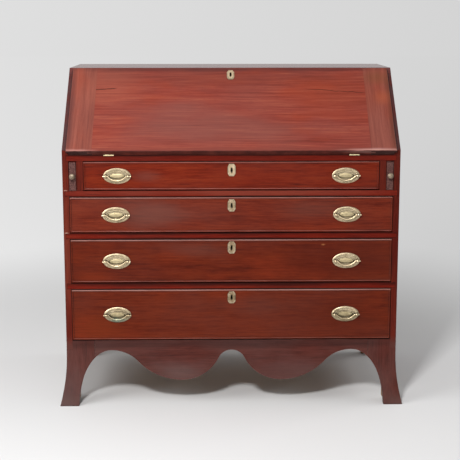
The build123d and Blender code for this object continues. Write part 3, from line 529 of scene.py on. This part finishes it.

# Mahogany under old red polish: straight-grained, red-brown, with a soft shine, greyed by bloom, pale with
# wear along some arrises and darkened with painted shade along others
lidOutwards = Vector((0, -math.sin(slope), math.cos(slope)))
lidFoot = Vector((0, -math.cos(slope), -math.sin(slope)))
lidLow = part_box("lid_panel")[0] * 1000
lip = (lidLow.y, lidLow.z + 12)  # just above the lid's lower edge
lidWood = {
    "grain": alongX, "start": (0.3, 0, 0), "tones": ("#5b2119", "#7e362c", "#964e3b"),
    "rough": 0.45, "gloss": 0.14, "fleck": (170, 6, 3, 0.6), "relief": 0.05,
    "bloom": 0.22, "bloomTone": "#7c4f47", "warmth": 0.5, "warmTone": "#8f3519",
    "edgeWearAndShade": 0.25, "edgeWearAndShadeTone": "#3a1510",
    "faces": (
        # painted shade on the lid's lower arris, which looks forward, and on its lower end face, which looks
        # down
        {"towards": (0, -1, 0), "from": 0.76, "to": 0.86, "tone": "#4a1f1a", "amount": 0.85},
        {"towards": lidFoot, "from": 0.9, "to": 0.98, "tone": "#2a100c", "amount": 0.7},
    ),
    "cracks": (
        {"ends": ((-449, 1001), (-368, 1006)), "wobble": 6, "width": 1.6, "strength": 0.9},
        {"ends": ((240, 1003), (445, 990)), "wobble": 8, "width": 1.3, "strength": 0.75},
    ),
    "stains": (
        {"at": (-390, -70, 1000), "reach": (170, 120, 110), "tone": "#93503f", "amount": 0.38},
        {"at": (330, -90, 985), "reach": (260, 130, 120), "tone": "#863315", "amount": 0.34},
        {"at": (-210, -150, 915), "reach": (240, 110, 90), "tone": "#734741", "amount": 0.4},
        {"at": (60, -190, 880), "reach": (420, 70, 55), "tone": "#73463f", "amount": 0.4},
        {"at": (0, -60, 1045), "reach": (700, 70, 70), "tone": "#5e3129", "amount": 0.35},
        {"at": (0, -34, 1071), "reach": (900, 18, 18), "tone": "#472422", "amount": 0.75},
        {"at": (-512, -130, 935), "reach": (20, 400, 400), "tone": "#4f2b29", "amount": 0.6},
        {"at": (512, -130, 935), "reach": (16, 400, 400), "tone": "#4f291c", "amount": 0.6},
        {"at": (480, -59, 1045), "reach": (70, 50, 50), "tone": "#6a3f21", "amount": 0.45},
        {"at": (490, -116, 985), "reach": (45, 50, 50), "tone": "#9d4f30", "amount": 0.45},
        {"at": (0, *lip), "reach": (allAcross, 20, 20), "tone": "#6e372e", "amount": 0.5},
        # pale bands along the lid's lower edge: wear with painted highlight
        {"at": (-490, *lip), "reach": (90, 14, 14), "tone": "#c08a80", "amount": 0.7},
        {"at": (450, *lip), "reach": (150, 14, 14), "tone": "#c4948a", "amount": 0.7},
    ),
}
cleatWood = dict(
    lidWood, grain=upSlope, start=(0, 0.4, 0), tones=("#612f27", "#7c4136", "#8e4f42"), cracks=()
)
dress(["lid_panel"], woodMaterial("mahogany_lid", lidWood))
dress(["lid_cleats"], woodMaterial("mahogany_lid_ends", cleatWood))

caseWood = {
    "tones": ("#370c06", "#58190e", "#6b2415"), "rough": 0.45, "gloss": 0.14,
    "bloom": 0.25, "bloomTone": "#5f2d25", "warmth": 0.5, "warmTone": "#5e1506",
    # dark arrises: painted shade beside the gaps and joints
    "edgeWearAndShade": 0.85, "edgeWearAndShadeTone": "#1c0906",
}
nick = {"reach": (9, 20, 2.4), "tone": "#d0a592", "amount": 0.9}  # lost polish beside a rail
uprightWood = dict(
    caseWood, grain=alongZ, bloom=0.15, gloss=0.1, edgeWearAndShadeWidth=3.0, edgeWearAndShadeEven=0.7,
    faces=({"towards": lidOutwards, "from": 0.95, "to": 0.99, "tone": "#453233", "amount": 0.8},),
    band={"from": 225, "to": 195, "tone": "#57302a", "amount": 1},
    stains=[
        {"at": (-stileX, drawerY, 520), "reach": (20, 30, 340), "tone": "#7d3d2c", "amount": 0.35},
        {"at": (stileX, drawerY, 520), "reach": (20, 30, 340), "tone": "#4a0a02", "amount": 0.5},
        *[dict(nick, at=(-stileX, caseY, beadLow[number] - 2)) for number in (1, 2)],
    ],
)
dress(["left_side", "right_side", "loper_partitions"], woodMaterial("mahogany_uprights", uprightWood))

# the top's greyer bloom is grey polish with painted sheen
topWood = dict(
    caseWood, grain=alongX, start=(0.2, 0.5, 0), rough=0.24, gloss=0.2, upGloss=1.0, relief=0.03, bloom=0.4,
    bloomTone="#6a5658", edgeWearAndShade=0.8, edgeWearAndShadeWidth=4, edgeWearAndShadeEven=0.6, endTones=("#54291f", "#7a4a3c"),
)
dress(["top_board"], woodMaterial("mahogany_top", topWood))

# painted shade and shadow on the rails beside the beads, where the gaps are
railGapShade = {"tone": "#1c0704", "amount": 0.85}
railGapShades = (  # painted shade and shadow in the gaps beside the beads: their levels, and their reach up and down
    (beadHigh[1] + 23, 8),
    (beadHigh[2] + 1.5, 6),
    (beadLow[2] - 2, 10),
    (beadHigh[3] + 1.5, 9),
    (beadLow[3] - 2, 18),
    (beadHigh[4] + 1.5, 5),
)
railWood = dict(
    caseWood, grain=alongX, start=(0.9, 0.1, 0), tones=("#440c05", "#68170b", "#752514"), gloss=0.08,
    edgeWearAndShade=1.0, edgeWearAndShadeWidth=3.2, edgeWearAndShadeEven=0.8,
    stains=[
        {"at": (0, drawerY, beadHigh[1] + 10), "reach": (700, 60, 30), "tone": "#480f07", "amount": 0.35},
        {"at": (0, drawerY, beadLow[1] - 8), "reach": (700, 60, 20), "tone": "#804032", "amount": 0.45},
        *[dict(railGapShade, at=(0, drawerY, level), reach=(allAcross, 60, reach)) for level, reach in railGapShades],
    ],
)
dress(["drawer_rails", "writing_board"], woodMaterial("mahogany_rails", railWood))
loperWood = dict(caseWood, grain=alongY, rough=0.5)
dress(["loper_left", "loper_right"], woodMaterial("mahogany_lopers", loperWood))

footJoint = {"reach": (1.6, 30, 60), "tone": "#1b0a08", "amount": 0.8}
lobe = {"reach": (190, 30, 85), "amount": 0.5}  # greyed polish
toe = {"reach": (90, 90, 60), "tone": "#5f4a46", "amount": 0.55}  # worn at the floor
footWood = dict(
    caseWood, tones=("#371712", "#52261f", "#5f312a"), bloom=0.45, bloomTone="#634743", warmTone="#581f15",
    # painted shadow of the lowest drawer on the top of the skirt and feet: a band and a soft stain
    band={"from": 206, "to": 212, "tone": "#1b0a08", "amount": 0.35},
    stains=[
        {"at": (0, caseY, 199), "reach": (allAcross, 60, 20), "tone": "#2a1512", "amount": 0.5},
        *[dict(footJoint, at=(side * footJointX, caseY, 200)) for side in (-1, 1)],
        dict(lobe, at=(-lobeX, caseY, 95), tone="#655350"),
        dict(lobe, at=(lobeX, caseY, 95), tone="#593e3b"),
        {"at": (-540, -258, 30), "reach": (90, 70, 130), "tone": "#5a4745", "amount": 0.6},
        *[dict(toe, at=(side * toeX, -260, 0)) for side in (-1, 1)],
    ],
)
skirtWood = dict(footWood, grain=alongX, edgeWearAndShade=0.7, edgeWearAndShadeTone="#9c7a70")
dress(["front_skirt", "side_skirts"], woodMaterial("mahogany_skirts", skirtWood))
feet = ["front_foot_faces", "front_foot_returns", "rear_feet"]
dress(feet, woodMaterial("mahogany_feet", dict(footWood, grain=alongZ, start=(0, 0, 0.5))))

frontWood = {
    "grain": alongX, "rough": 0.42, "gloss": 0.11, "bloomTone": "#64362d", "warmth": 0.5, "edgeWearAndShade": 0.0,
    # stronger painted shade round the pulls, plates and beads
    "cornerShadeRange": (0.97, 0.6),
}
drawerWood = {
    1: {"tones": ("#430c03", "#6b1d0a", "#7b2c13"), "start": (0, 0, 0.1), "bloom": 0.15, "stains": (
        {"at": (-270, drawerY, 745), "reach": (70, 40, 30), "tone": "#66382f", "amount": 0.5},
    )},
    2: {"tones": ("#440f06", "#672313", "#7a311b"), "start": (0.5, 0, 0.2), "bloom": 0.3, "stains": (
        {"at": (-240, drawerY, 620), "reach": (170, 40, 60), "tone": "#653f37", "amount": 0.6},
        {"at": (250, drawerY, 640), "reach": (150, 40, 40), "tone": "#60382f", "amount": 0.35},
    )},
    3: {"tones": ("#3b0b02", "#5c1c09", "#6d280f"), "start": (1.1, 0, 0.4), "bloom": 0.2, "stains": (
        {"at": (-120, drawerY, 510), "reach": (170, 40, 40), "tone": "#5f3930", "amount": 0.45},
        {"at": (-440, drawerY, 420), "reach": (90, 40, 30), "tone": "#72270c", "amount": 0.5},
        {"at": (330, drawerY, 470), "reach": (260, 40, 110), "tone": "#481306", "amount": 0.45},
        {"at": (291, drawerY, beadHigh[3] - 17), "reach": (9, 20, 4), "tone": "#b87a4a", "amount": 0.5},
    )},
    4: {"tones": ("#3d0b03", "#5f1f0a", "#6f2911"), "start": (1.7, 0, 0.6), "bloom": 0.25, "stains": (
        {"at": (-420, drawerY, 255), "reach": (140, 40, 60), "tone": "#712a0b", "amount": 0.5},
        {"at": (60, drawerY, 330), "reach": (260, 40, 50), "tone": "#5c342b", "amount": 0.35},
        {"at": (350, drawerY, 290), "reach": (240, 40, 110), "tone": "#4d1708", "amount": 0.35},
    )},
}
# beads: painted highlight where they look up, and a pale band on the top bead that is wear with painted
# highlight
beadUpHighlight = {"towards": (0, 0, 1), "from": 0.1, "to": 0.7, "tone": "#b98d84"}
beadTopWearAndHighlight = {"reach": (allAcross, 60, 7), "tone": "#c39a90"}
beadWearAndHighlight = {1: (0.38, 0.08), 2: (0.35, 0.22), 3: (0.32, 0.36), 4: (0.22, 0.48)}  # painted highlight on faces that look up, and wear with painted highlight on the top bead
for number in drawerNumbers:
    wood = {**frontWood, **drawerWood[number]}
    dress([f"drawer_{number}_front"], woodMaterial(f"mahogany_drawer_{number}", wood))
    upHighlight, topWearAndHighlight = beadWearAndHighlight[number]
    topBeadMark = dict(beadTopWearAndHighlight, at=(0, proudY, beadHigh[number]), amount=topWearAndHighlight)
    beadWood = dict(
        wood, faces=(dict(beadUpHighlight, amount=upHighlight),), stains=[*wood["stains"], topBeadMark], cornerShade=0.6,
        cornerShadeRange=(0.9, 0.4),
    )
    dress([f"drawer_{number}_cockbead"], woodMaterial(f"mahogany_bead_{number}", beadWood))
print("mahogany dressed")


# White pine, planed and left raw: pale when cut, brown with age, with dark late wood
pine = {
    "tones": ("#7d5836", "#a07a4d", "#b8925f"), "rough": 0.62, "gloss": 0.25,
    "figure": (900, 22, 3, 0.5), "streak": (200, 5, 4, 0.6), "poreDark": 0.15,
    "bloom": 0.4, "bloomTone": "#8a7358", "warmth": 0.3, "warmTone": "#a5703a",
    "edgeWearAndShade": 0.35, "edgeWearAndShadeTone": "#c9a97c", "endTones": ("#6d4a2b", "#9a7448"),
}
oldPine = dict(
    pine, tones=("#6a482b", "#8c663d", "#a27c50"), bloomTone="#806649", edgeWearAndShade=0.9, edgeWearAndShadeTone="#24160c",
    edgeWearAndShadeWidth=2.5,
)
boxes = [f"drawer_{number}_box" for number in drawerNumbers]
dress(boxes, woodMaterial("pine_drawer_boxes", dict(pine, grain=alongX, sidesAlongY=True)))
carcase = ["bottom_board", "foot_blocks", "rear_brackets"]
dress(carcase, woodMaterial("pine_carcase", dict(oldPine, grain=alongX)))

low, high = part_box("back_boards")
backPlanks = {
    "bottom": low.z, "top": high.z, "count": 5, "shade": 0.45, "joint": 1.6, "jointTone": "#1a110a",
    "nails": 2, "nailReach": high.x - mm(15),  # nails at each end, and how far they are from the middle
    "nailRings": (  # rust, then the nail's head
        {"outer": 9, "inner": 2, "tone": "#3d2414", "amount": 0.7},
        {"outer": 3.6, "inner": 3.0, "tone": "#211a17", "amount": 1.0},
    ),
}
dress(["back_boards"], woodMaterial("pine_back_boards", dict(oldPine, grain=alongX, planks=backPlanks)))
dress(["drawer_runners"], woodMaterial("pine_runners", dict(oldPine, grain=alongY)))
gallery = ["gallery_shelf", "gallery_dividers", "pigeonhole_valances"]
galleryWood = dict(pine, tones=("#6a4226", "#865a37", "#9b6d46"), grain=alongX)
dress(gallery, woodMaterial("pine_gallery", galleryWood))

smallDrawer = {"knob": 14, "front": 12}  # mm from front to back
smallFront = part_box("small_drawer_1")[0].y + mm(smallDrawer["knob"] + smallDrawer["front"])
smallWood = dict(
    caseWood, grain=alongX, start=(0.4, 0.3, 0.9), sidesAlongY=True, behind=(smallFront, pine["tones"]),
    bloom=0, warmth=0,
)
smallDrawers = [f"small_drawer_{number}" for number in drawerNumbers]
dress(smallDrawers, woodMaterial("mahogany_small_drawers", smallWood))
print("pine dressed")


# What a metal has unless its own settings differ. Spots, grit and reach are in mm
metalLook = {
    "spot": 9, "spotRange": (0.42, 0.68), "dullRough": 0.3,
    "stains": (), "stainLevels": (0.4, 0.0), "stainCurve": "LINEAR",
    "wallRange": (0.8, 0.35), "wallTone": "#33281a", "wallDark": 0.85,
    "ironTone": "#6b5f54", "ironRough": 0.7, "ironGap": 0.1,
    # painted shade in crevices: the occlusion levels where it starts and is full, its reach in mm, its tone
    # and amount
    "creviceShade": (0.85, 0.35), "creviceShadeReach": 5, "creviceShadeTone": "#120c07", "creviceShadeAmount": 0.95,
    "grit": 1.6,  # casting grit is finer: drawn coarser, so that it shows
    "gritRelief": 0.3, "gritDepth": 0.12,
}


def metalMaterial(name, settings):
    # cast metal: bright where it is rubbed, dull where tarnish or rust stays
    metal = {**metalLook, **settings}
    material, tree = newMaterial(name)
    texture = addNode(tree, "ShaderNodeTexCoord").outputs
    where = texture["Object"]
    spots = addNode(
        tree, "ShaderNodeTexNoise",
        {"Vector": where, "Scale": per(metal["spot"]), "Detail": 5, "Roughness": 0.65},
    ).outputs["Fac"]
    start, full = metal["spotRange"]
    dull = addNode(
        tree, "ShaderNodeMapRange",
        {"Value": spots, "From Min": start, "From Max": full, "To Max": metal["tarnish"]},
    ).outputs[0]
    tone = addNode(
        tree, "ShaderNodeMix", {0: dull, 6: hexColor(metal["bright"]), 7: hexColor(metal["dull"])},
        data_type="RGBA",
    ).outputs[2]
    rough = addNode(
        tree, "ShaderNodeMapRange",
        {"Value": dull, "To Min": metal["rough"], "To Max": metal["rough"] + metal["dullRough"]},
    ).outputs[0]
    for stain in metal["stains"]:
        tone = addStain(tree, tone, stain, where, spots, metal)
    if "walls" in metal:  # faces turned away from the front are darker: painted shade, with tarnish that stays where they are rubbed less
        front = addNode(
            tree, "ShaderNodeVectorMath", {0: texture["Normal"], 1: metal["walls"]}, operation="DOT_PRODUCT"
        ).outputs["Value"]
        tone = layOver(tree, tone, metal["wallTone"], front, metal["wallRange"], metal["wallDark"])
    if "behind" in metal:  # what lies behind the wood's face is the iron of the lock
        towards, face = metal["behind"]
        depth = addNode(
            tree, "ShaderNodeVectorMath", {0: where, 1: towards}, operation="DOT_PRODUCT"
        ).outputs["Value"]
        inside = addNode(
            tree, "ShaderNodeMath", {0: depth, 1: face - mm(metal["ironGap"])}, operation="LESS_THAN"
        ).outputs[0]
        tone = layOver(tree, tone, metal["ironTone"], inside, (0, 1))
        rough = addNode(
            tree, "ShaderNodeMix", {0: inside, 2: rough, 3: metal["ironRough"]}, data_type="FLOAT"
        ).outputs[0]
    # painted shade in crevices and hollows, darker where the occlusion is low
    clear = addNode(
        tree, "ShaderNodeAmbientOcclusion", {"Distance": mm(metal["creviceShadeReach"])}, samples=cornerSamples
    ).outputs["AO"]
    tone = layOver(tree, tone, metal["creviceShadeTone"], clear, metal["creviceShade"], metal["creviceShadeAmount"])
    grit = addNode(
        tree, "ShaderNodeTexNoise", {"Vector": where, "Scale": per(metal["grit"]), "Detail": 3}
    ).outputs["Fac"]
    bump = addNode(
        tree, "ShaderNodeBump",
        {"Height": grit, "Strength": metal["gritRelief"], "Distance": mm(metal["gritDepth"])},
    ).outputs[0]
    surface = addNode(
        tree, "ShaderNodeBsdfPrincipled",
        {"Base Color": tone, "Metallic": 1.0, "Roughness": rough, "Normal": bump},
    )
    addNode(tree, "ShaderNodeOutputMaterial", {"Surface": surface.outputs[0]})
    return material


# Brass: pale yellow where it is rubbed, olive brown where tarnish stays
towardsFront = Vector((0, -1, 0))
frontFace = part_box("drawer_1_front")[0].y
lidFace = max(lidOutwards.dot(vertex.co) for vertex in nodes["lid_panel"].data.vertices)
rubbedBrass = {"bright": "#dcc9a6", "dull": "#937a52", "tarnish": 0.5, "rough": 0.5}
pullMarks = (  # the lowest pulls are dimmer, and one of them is green with verdigris
    {"at": (0, proudY, 264), "reach": (900, 90, 60), "tone": "#7f7050", "amount": 0.45},
    {"at": (-365, proudY, 264), "reach": (50, 40, 30), "tone": "#84a89a", "amount": 0.55},
)
pullBrass = metalMaterial("brass_pulls", dict(
    rubbedBrass, bright="#f4dfb9", dull="#84704c", rough=0.4, creviceShade=(0.99, 0.7), walls=towardsFront,
    stains=pullMarks,
))
domeBrass = metalMaterial("brass_pull_domes", dict(
    rubbedBrass, bright="#d0c099", tarnish=0.35, stains=pullMarks,
))

plateBrass = dict(rubbedBrass, bright="#e5d0b0", dull="#ab9069", creviceShade=(0.97, 0.6))
plateDim = {"tone": "#6b5638", "spread": 1.15, "depth": 60, "amounts": {1: 0.25, 2: 0.5, 3: 0.6, 4: 0.7}}
keyholeShade = {"reach": (4.6, 10.2, 10.2), "tone": "#1a120b", "amount": 0.9}  # painted shade round a keyhole, that makes the hole look larger


def plateMiddle(name, towards, face):
    # middle and half sizes, in mm, of the keyhole plate that stands in front of the wood
    plate = [vertex.co for vertex in nodes[name].data.vertices if vertex.co.dot(towards) > face]
    ends = [[pick(spot[axis] for spot in plate) * 1000 for pick in (min, max)] for axis in range(3)]
    return [(low + high) / 2 for low, high in ends], [(high - low) / 2 for low, high in ends]


plateMarks = []
for number in drawerNumbers:
    middle, half = plateMiddle(f"drawer_{number}_lock", towardsFront, -frontFace)
    plateMarks += [
        {
            "at": middle, "tone": plateDim["tone"], "amount": plateDim["amounts"][number],
            "reach": (half[0] * plateDim["spread"], plateDim["depth"], half[2] * plateDim["spread"]),
        },
        dict(keyholeShade, at=middle),
    ]
keyBrass = metalMaterial("brass_keyhole_plates", dict(
    plateBrass, behind=(towardsFront, -frontFace), walls=towardsFront, stains=plateMarks,
))
lidPlateMiddle = plateMiddle("lid_lock", lidOutwards, lidFace)[0]
lidKeyBrass = metalMaterial("brass_lid_keyhole_plate", dict(
    plateBrass, bright="#cdb89a", dull="#a08a6e", behind=(lidOutwards, lidFace), walls=lidOutwards,
    stains=[dict(keyholeShade, at=lidPlateMiddle)],
))
dullBrass = {"bright": "#a39380", "dull": "#6a5b4c", "tarnish": 0.8, "rough": 0.5}
knobBrass = metalMaterial("brass_knobs", dullBrass)
hingeBrass = metalMaterial("brass_hinges", dict(rubbedBrass, bright="#e2d2a8", tarnish=0.3))
for number in drawerNumbers:
    dress([f"drawer_{number}_{part}" for part in ("pull_plates", "left_bail", "right_bail")], pullBrass)
    dress([f"drawer_{number}_lock"], keyBrass)
dress(["lid_lock"], lidKeyBrass)
dress(["loper_knob_left", "loper_knob_right"], knobBrass)
dress(["hinge_case_leaves", "hinge_lid_leaves"], hingeBrass)
print("brass dressed")


def nodeTree(name, inputs):
    tree = bpy.data.node_groups.new(name, "GeometryNodeTree")
    tree.interface.new_socket("Geometry", in_out="OUTPUT", socket_type="NodeSocketGeometry")
    for label, kind in inputs.items():
        tree.interface.new_socket(label, in_out="INPUT", socket_type=kind)
    return tree, addNode(tree, "NodeGroupInput"), addNode(tree, "NodeGroupOutput")


def grow(name, tree, values):
    # runs a node tree on an empty mesh and hands back the plain mesh that it makes
    host = bpy.data.objects.new(name, bpy.data.meshes.new(name))
    bpy.context.scene.collection.objects.link(host)
    maker = host.modifiers.new(name, "NODES")
    maker.node_group = tree
    for item in tree.interface.items_tree:
        if item.in_out == "INPUT" and item.name in values:
            maker[item.identifier] = values[item.name]
    ready = host.evaluated_get(bpy.context.evaluated_depsgraph_get())
    mesh = bpy.data.meshes.new_from_object(ready)
    host.modifiers.remove(maker)
    bpy.data.objects.remove(host)
    return mesh


def addPiece(name, meshes, material, body):
    shape = bmesh.new()
    for mesh, place in meshes:
        copy = mesh.copy()
        copy.transform(place)
        shape.from_mesh(copy)
        bpy.data.meshes.remove(copy)
    bmesh.ops.recalc_face_normals(shape, faces=shape.faces)
    for face in shape.faces:
        face.smooth = True
        face.material_index = 0
    joined = bpy.data.meshes.new(name)
    shape.to_mesh(joined)
    shape.free()
    joined.materials.append(material)
    piece = bpy.data.objects.new(name, joined)
    bpy.context.scene.collection.objects.link(piece)
    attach(piece, body)


# Stamped oval plates, in mm: a fluted border and a domed oval inside the raised ring
pull = {
    "length": 87, "height": 50, "rise": 1.8,
    "flutes": 52, "flute": (4.0, 1.25, 0.75), "fluteFaces": 2,
    "border": 0.83, "borderTrim": 1.5, "borderPoints": 128,
    "dome": (25.6, 8.6, 1.5), "domeCurve": 2.6, "domeRings": 6, "domeSides": 48,
}
outwards = Matrix.Rotation(math.radians(90), 4, "X")  # a flat piece turned to face the front


def flutedRingTree():
    # flutes set round an oval, each one long towards the middle
    tree, given, result = nodeTree("fluted_ring", {
        "Long Radius": "NodeSocketFloat", "Short Radius": "NodeSocketFloat", "Count": "NodeSocketInt",
        "Flute": "NodeSocketVector", "Material": "NodeSocketMaterial",
    })
    sizes = given.outputs
    circle = addNode(
        tree, "GeometryNodeCurvePrimitiveCircle", {"Resolution": pull["borderPoints"], "Radius": 1.0}
    ).outputs["Curve"]
    stretch = addNode(
        tree, "ShaderNodeCombineXYZ", {0: sizes["Long Radius"], 1: sizes["Short Radius"], 2: 1.0}
    ).outputs[0]
    oval = addNode(tree, "GeometryNodeTransform", {"Geometry": circle, "Scale": stretch}).outputs[0]
    spaced = addNode(tree, "GeometryNodeResampleCurve", {"Curve": oval, "Count": sizes["Count"]}).outputs[0]
    tangent = addNode(tree, "GeometryNodeInputTangent").outputs[0]
    facing = addNode(
        tree, "FunctionNodeAlignRotationToVector", {"Vector": tangent}, axis="Y", pivot_axis="Z"
    ).outputs[0]
    flute = addNode(
        tree, "GeometryNodeMeshIcoSphere", {"Radius": 1.0, "Subdivisions": pull["fluteFaces"]}
    ).outputs["Mesh"]
    placed = addNode(
        tree, "GeometryNodeInstanceOnPoints",
        {"Points": spaced, "Instance": flute, "Rotation": facing, "Scale": sizes["Flute"]},
    ).outputs[0]
    real = addNode(tree, "GeometryNodeRealizeInstances", {"Geometry": placed}).outputs[0]
    dressed = addNode(
        tree, "GeometryNodeSetMaterial", {"Geometry": real, "Material": sizes["Material"]}
    ).outputs[0]
    tree.links.new(dressed, result.inputs[0])
    return tree


def makeDome():
    # rings of points from the middle outwards, closed by a flat underside
    long, short, rise = [mm(size) for size in pull["dome"]]
    sides, rings = pull["domeSides"], pull["domeRings"]
    shape = bmesh.new()
    rows = []
    for ring in range(1, rings + 1):
        share = ring / rings
        height = rise * (1 - share ** pull["domeCurve"])
        row = []
        for side in range(sides):
            angle = 2 * math.pi * side / sides
            place = (long * share * math.cos(angle), short * share * math.sin(angle), height)
            row.append(shape.verts.new(place))
        rows.append(row)
    top = shape.verts.new((0, 0, rise))
    for side in range(sides):
        after = (side + 1) % sides
        shape.faces.new((top, rows[0][side], rows[0][after]))
        for inner, outer in zip(rows, rows[1:]):
            shape.faces.new((inner[side], outer[side], outer[after], inner[after]))
    shape.faces.new(list(reversed(rows[-1])))
    mesh = bpy.data.meshes.new("plate_dome")
    shape.to_mesh(mesh)
    shape.free()
    return mesh


flutedRing = grow("plate_flutes", flutedRingTree(), {
    "Long Radius": mm(pull["length"] / 2 * pull["border"]),
    "Short Radius": mm(pull["height"] / 2 * pull["border"] - pull["borderTrim"]),
    "Count": pull["flutes"],
    "Flute": [mm(size) for size in pull["flute"]],
    "Material": pullBrass,
})
dome = makeDome()
for number in drawerNumbers:
    low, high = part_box(f"drawer_{number}_pull_plates")
    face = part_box(f"drawer_{number}_front")[0].y - mm(pull["rise"])
    offset = high.x - mm(pull["length"] / 2)
    places = [Matrix.Translation((side * offset, face, (low.z + high.z) / 2)) @ outwards for side in (-1, 1)]
    for label, mesh, brass in (("flutes", flutedRing, pullBrass), ("domes", dome, domeBrass)):
        name = f"drawer_{number}_plate_{label}"
        addPiece(name, [(mesh, place) for place in places], brass, f"drawer_{number}")
print("pull plates finished")
